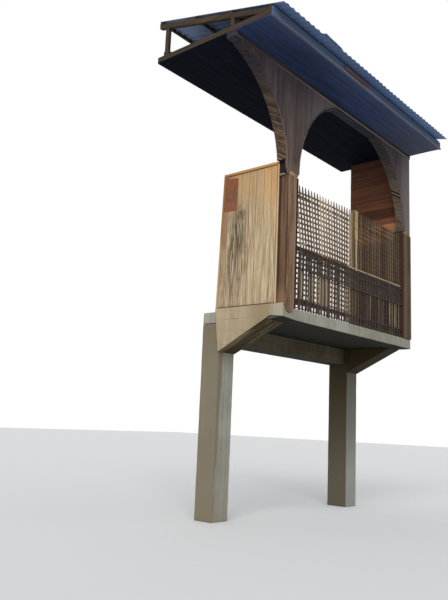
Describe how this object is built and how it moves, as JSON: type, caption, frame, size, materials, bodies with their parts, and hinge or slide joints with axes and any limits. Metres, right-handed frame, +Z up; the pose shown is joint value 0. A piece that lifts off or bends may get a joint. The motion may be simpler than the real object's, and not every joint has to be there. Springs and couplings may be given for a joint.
{
  "type": "mashrabiya balcony bay",
  "caption": "Lattice-screened timber balcony bay with arched spandrels, iron balustrade, boarded side and ribbed roof edge, on a cast concrete frame, cut off at the wall",
  "frame": {"origin": "on the back face of the back beam, at the middle of its length and of its height", "axes": "+X along the facade to the right, +Y into the wall, +Z up; the balcony stands out along -Y"},
  "size_m": [5.455, 2.3994, 7.5252],
  "materials": {
    "pale_concrete": "cast against boards, weathered and streaked",
    "dark_concrete": "cast against boards, stained dark",
    "block_render": "cream render over blockwork, joints showing",
    "post_timber": "bare, reddish brown, checked along the grain",
    "grey_timber": "bare, grey brown, weathered",
    "spandrel_timber": "bare dark boards",
    "rib_timber": "dark, covered with cross laths",
    "lattice_timber": "bare tan laths, grey in places",
    "pole_timber": "pale yellow wood",
    "wrought_iron": "dark, purple brown rust",
    "panel_timber": "pale weathered boards with streaks",
    "rough_timber": "rough sawn",
    "edge_timber": "orange brown",
    "red_boards": "red brown stain, worn",
    "eave_timber": "dark weathered boards, matt",
    "strip_timber": "pale brown, bare",
    "roof_metal": "dull grey ribbed sheet, rust along the edges"
  },
  "bodies": {
    "root": {"left_column": "pale_concrete", "right_column": "pale_concrete", "back_beam": "dark_concrete", "left_haunch": "dark_concrete", "right_haunch": "dark_concrete", "floor_slab": "pale_concrete", "side_render": "block_render", "side_kerb": "block_render", "corner_post": "post_timber", "corner_post_board": "post_timber", "right_post": "grey_timber", "right_post_board": "grey_timber", "top_beam": "spandrel_timber", "head_boards": "spandrel_timber", "head_moulding": "spandrel_timber", "middle_spandrel": "spandrel_timber", "right_spandrel": "spandrel_timber", "spandrel_feet": "post_timber", "cut_arch_rib": "rib_timber", "left_arch_rib": "rib_timber", "right_arch_rib": "rib_timber", "lattice_left": "lattice_timber", "lattice_right": "lattice_timber", "lattice_rails": "lattice_timber", "lattice_upright": "pole_timber", "iron_balustrade": "wrought_iron", "panel_boards": "panel_timber", "panel_rails": "rough_timber", "panel_cap": "panel_timber", "panel_edges": "edge_timber", "side_wall_frame": "rough_timber", "side_wall_inside": "red_boards", "side_wall_outside": "red_boards", "ceiling_boards": "eave_timber", "eave_boards": "eave_timber", "ceiling_joists": "rough_timber", "wall_plate": "rough_timber", "roof_struts": "rough_timber", "rafters": "rough_timber", "roof_battens": "rough_timber", "fascia": "eave_timber", "fascia_strip": "strip_timber", "loose_fascia_board": "strip_timber", "roof_sheets": "roof_metal", "loose_roof_sheet": "roof_metal"}
  },
  "joints": []
}
